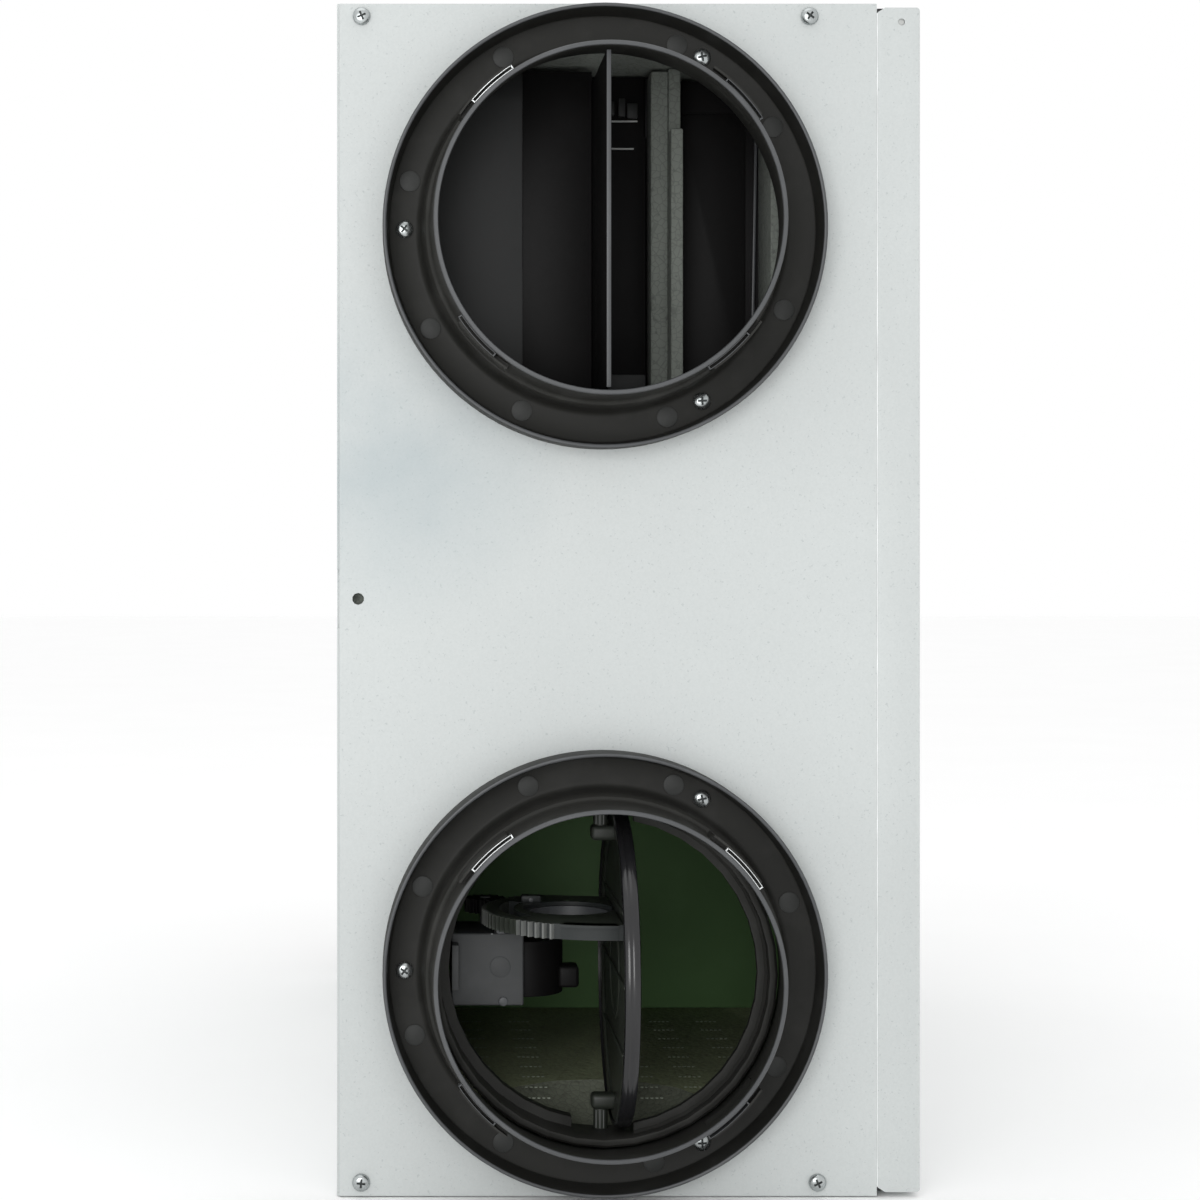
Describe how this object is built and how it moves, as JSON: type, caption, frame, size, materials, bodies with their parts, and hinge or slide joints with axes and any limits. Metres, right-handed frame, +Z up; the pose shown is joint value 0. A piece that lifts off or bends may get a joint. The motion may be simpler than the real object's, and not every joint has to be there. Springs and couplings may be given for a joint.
{
  "type": "heat recovery unit",
  "caption": "Compact galvanised ventilation heat recovery unit with double-walled duct collars on both ends, a cross-flow core, blowers, a motorised port damper and a side-hinged door.",
  "frame": {"origin": "centre of the cabinet's footprint on its underside", "axes": "+Z up, +X towards the service door, -Y towards the end with the port damper"},
  "size_m": [0.2542, 0.676, 0.5206],
  "materials": {
    "galvanised": "mill finish zinc coating",
    "steel": "bright zinc plate",
    "collar": "moulded, lightly textured",
    "black_plastic": "moulded, satin",
    "green_plastic": "moulded, satin",
    "foam": "expanded bead foam",
    "rubber": "soft seal, smooth",
    "grey_plastic": "moulded, satin",
    "aluminium": "thin mill-finish sheet",
    "filter": "washable fleece",
    "board": "green laminate"
  },
  "bodies": {
    "cabinet": {"cabinet_shell": "galvanised", "end_panel_near": "galvanised", "end_panel_far": "galvanised", "hanging_rail": "steel", "panel_screw_top_back": "steel", "panel_screw_top_front": "steel", "panel_screw_bottom_back": "steel", "panel_screw_bottom_front": "steel", "collar_screw_lower_1": "steel", "collar_screw_lower_2": "steel", "collar_screw_lower_3": "steel", "collar_screw_upper_1": "steel", "collar_screw_upper_2": "steel", "collar_screw_upper_3": "steel", "hinge_leaf_fixed_lower": "steel", "hinge_leaf_fixed_upper": "steel", "hinge_pin_lower": "steel", "hinge_pin_upper": "steel", "blower_motor_near": "steel", "blower_motor_far": "steel", "duct_collar_near_lower": "collar", "duct_collar_near_upper": "collar", "duct_collar_far_lower": "collar", "duct_collar_far_upper": "collar", "port_web": "collar", "drain_spout": "black_plastic", "core_end_back": "black_plastic", "core_end_front": "black_plastic", "blower_housing_near": "black_plastic", "blower_housing_far": "black_plastic", "control_housing": "black_plastic", "cable_gland": "black_plastic", "damper_seat": "black_plastic", "core_cradle": "green_plastic", "foam_base": "foam", "foam_top": "foam", "foam_back": "foam", "foam_divider_near": "foam", "foam_divider_far": "foam", "foam_divider_top": "foam", "foam_port_wall": "foam", "terminal_block": "grey_plastic", "damper_actuator": "grey_plastic", "core_block": "aluminium", "filter_near": "filter", "filter_far": "filter", "control_board": "board"},
    "door": {"door_panel": "galvanised", "door_liner": "foam", "door_gasket": "rubber", "hinge_leaf_door_lower": "steel", "hinge_leaf_door_upper": "steel"},
    "latch_lower": {"door_latch_lower": "black_plastic"},
    "latch_upper": {"door_latch_upper": "black_plastic"},
    "damper": {"damper_flap": "black_plastic", "damper_gasket": "rubber", "damper_gear": "black_plastic"},
    "damper_drive": {"damper_pinion": "grey_plastic"},
    "impeller_near": {"blower_impeller_near": "grey_plastic"},
    "impeller_far": {"blower_impeller_far": "grey_plastic"}
  },
  "joints": [
    {"name": "door_hinge", "type": "hinge", "parent": "cabinet", "child": "door", "pos_m": [0.1086, 0.2884, 0.26], "axis": [0, 0, 1], "range_deg": [0, 110]},
    {"name": "latch_lower_turn", "type": "hinge", "parent": "door", "child": "latch_lower", "pos_m": [0.12, -0.255, 0.13], "axis": [1, 0, 0], "range_deg": [0, 90]},
    {"name": "latch_upper_turn", "type": "hinge", "parent": "door", "child": "latch_upper", "pos_m": [0.12, -0.255, 0.39], "axis": [1, 0, 0], "range_deg": [0, 90]},
    {"name": "damper_turn", "type": "hinge", "parent": "cabinet", "child": "damper", "pos_m": [-0.0115, -0.277, 0.09915], "axis": [0, 0, -1], "range_deg": [0, 90]},
    {"name": "damper_drive_turn", "type": "hinge", "parent": "cabinet", "child": "damper_drive", "pos_m": [-0.06095, -0.24302, 0.12145], "axis": [0, 0, 1], "range_deg": [0, 540]},
    {"name": "blower_near_spin", "type": "hinge", "parent": "cabinet", "child": "impeller_near", "pos_m": [-0.06, -0.165, 0.4], "axis": [1, 0, 0], "continuous": true},
    {"name": "blower_far_spin", "type": "hinge", "parent": "cabinet", "child": "impeller_far", "pos_m": [-0.06, 0.165, 0.4], "axis": [1, 0, 0], "continuous": true}
  ],
  "couplings": [
    {"joint": "damper_drive_turn", "follows": "damper_turn", "ratio": 6}
  ]
}
